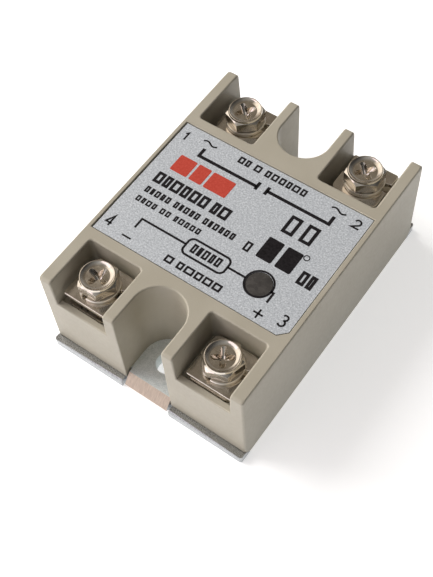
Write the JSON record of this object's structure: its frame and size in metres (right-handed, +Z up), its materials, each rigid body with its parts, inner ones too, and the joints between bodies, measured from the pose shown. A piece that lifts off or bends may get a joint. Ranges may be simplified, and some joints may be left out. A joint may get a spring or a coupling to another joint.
{
  "type": "solid state relay",
  "caption": "Panel-mount solid state relay: moulded housing on a metal base plate, with screw terminals under captive clamp washers and an indicator window.",
  "frame": {"origin": "middle of the base plate's underside, which is the face that sits on the heat sink", "axes": "+Z up out of the mounting face, X across the terminals, Y along the wires with the load terminals at +Y and the control terminals at -Y"},
  "size_m": [0.045, 0.0628, 0.023],
  "materials": {
    "housing_plastic": "lightly textured moulding",
    "galvanised_steel": "zinc spangle with bare cut edges",
    "label_film": "printed silver polyester film",
    "smoked_lens": "smoked, nearly opaque",
    "led_red": "clear tinted epoxy",
    "nickel_steel": "nickel plating",
    "nickel_brass": "nickel plated brass",
    "alumina": "matt white",
    "copper": "bare copper",
    "silicon": "polished chip with passivated edge",
    "board_laminate": "solder resist over glass laminate",
    "black_epoxy": "moulded epoxy",
    "resistor_body": "lacquered",
    "capacitor_box": "filled box",
    "potting": "cast resin"
  },
  "bodies": {
    "relay": {"housing": "housing_plastic", "base_plate": "galvanised_steel", "label": "label_film", "led_window": "smoked_lens", "indicator_led": "led_red", "ceramic_insulator": "alumina", "heat_spreader": "copper", "power_triac": "silicon", "gate_lead": "copper", "output_strap_1": "copper", "output_strap_2": "copper", "circuit_board": "board_laminate", "optocoupler": "black_epoxy", "input_resistor": "resistor_body", "input_diode": "black_epoxy", "input_transistor": "black_epoxy", "gate_resistor": "resistor_body", "snubber_capacitor": "capacitor_box", "snubber_resistor": "resistor_body", "potting_compound": "potting", "terminal_plate_1": "nickel_brass", "terminal_plate_2": "nickel_brass", "terminal_plate_3": "nickel_brass", "terminal_plate_4": "nickel_brass"},
    "clamp_1": {"clamp_washer_1": "nickel_steel", "lock_washer_1": "nickel_steel"},
    "clamp_2": {"clamp_washer_2": "nickel_steel", "lock_washer_2": "nickel_steel"},
    "clamp_3": {"clamp_washer_3": "nickel_steel", "lock_washer_3": "nickel_steel"},
    "clamp_4": {"clamp_washer_4": "nickel_steel", "lock_washer_4": "nickel_steel"},
    "screw_1": {"terminal_screw_1": "nickel_steel"},
    "screw_2": {"terminal_screw_2": "nickel_steel"},
    "screw_3": {"terminal_screw_3": "nickel_steel"},
    "screw_4": {"terminal_screw_4": "nickel_steel"}
  },
  "joints": [
    {"name": "clamp_1_lift", "type": "slide", "parent": "relay", "child": "clamp_1", "axis": [0, 0, 1], "range_m": [-0.0014, 0.0021]},
    {"name": "screw_1_turn", "type": "hinge", "parent": "clamp_1", "child": "screw_1", "pos_m": [-0.01385, 0.0233, 0.0184], "axis": [0, 0, 1], "range_deg": [-721, 1081]},
    {"name": "clamp_2_lift", "type": "slide", "parent": "relay", "child": "clamp_2", "axis": [0, 0, 1], "range_m": [-0.0017, 0.0018]},
    {"name": "screw_2_turn", "type": "hinge", "parent": "clamp_2", "child": "screw_2", "pos_m": [0.01385, 0.0233, 0.0184], "axis": [0, 0, 1], "range_deg": [-875, 926]},
    {"name": "clamp_3_lift", "type": "slide", "parent": "relay", "child": "clamp_3", "axis": [0, 0, 1], "range_m": [0, 0.0035]},
    {"name": "screw_3_turn", "type": "hinge", "parent": "clamp_3", "child": "screw_3", "pos_m": [0.01385, -0.0236, 0.0184], "axis": [0, 0, 1], "range_deg": [0, 1801]},
    {"name": "clamp_4_lift", "type": "slide", "parent": "relay", "child": "clamp_4", "axis": [0, 0, 1], "range_m": [-0.0016, 0.0019]},
    {"name": "screw_4_turn", "type": "hinge", "parent": "clamp_4", "child": "screw_4", "pos_m": [-0.01385, -0.0236, 0.0184], "axis": [0, 0, 1], "range_deg": [-823, 978]}
  ],
  "couplings": [
    {"joint": "screw_1_turn", "follows": "clamp_1_lift", "rad_per_m": 8976},
    {"joint": "screw_2_turn", "follows": "clamp_2_lift", "rad_per_m": 8976},
    {"joint": "screw_3_turn", "follows": "clamp_3_lift", "rad_per_m": 8976},
    {"joint": "screw_4_turn", "follows": "clamp_4_lift", "rad_per_m": 8976}
  ]
}
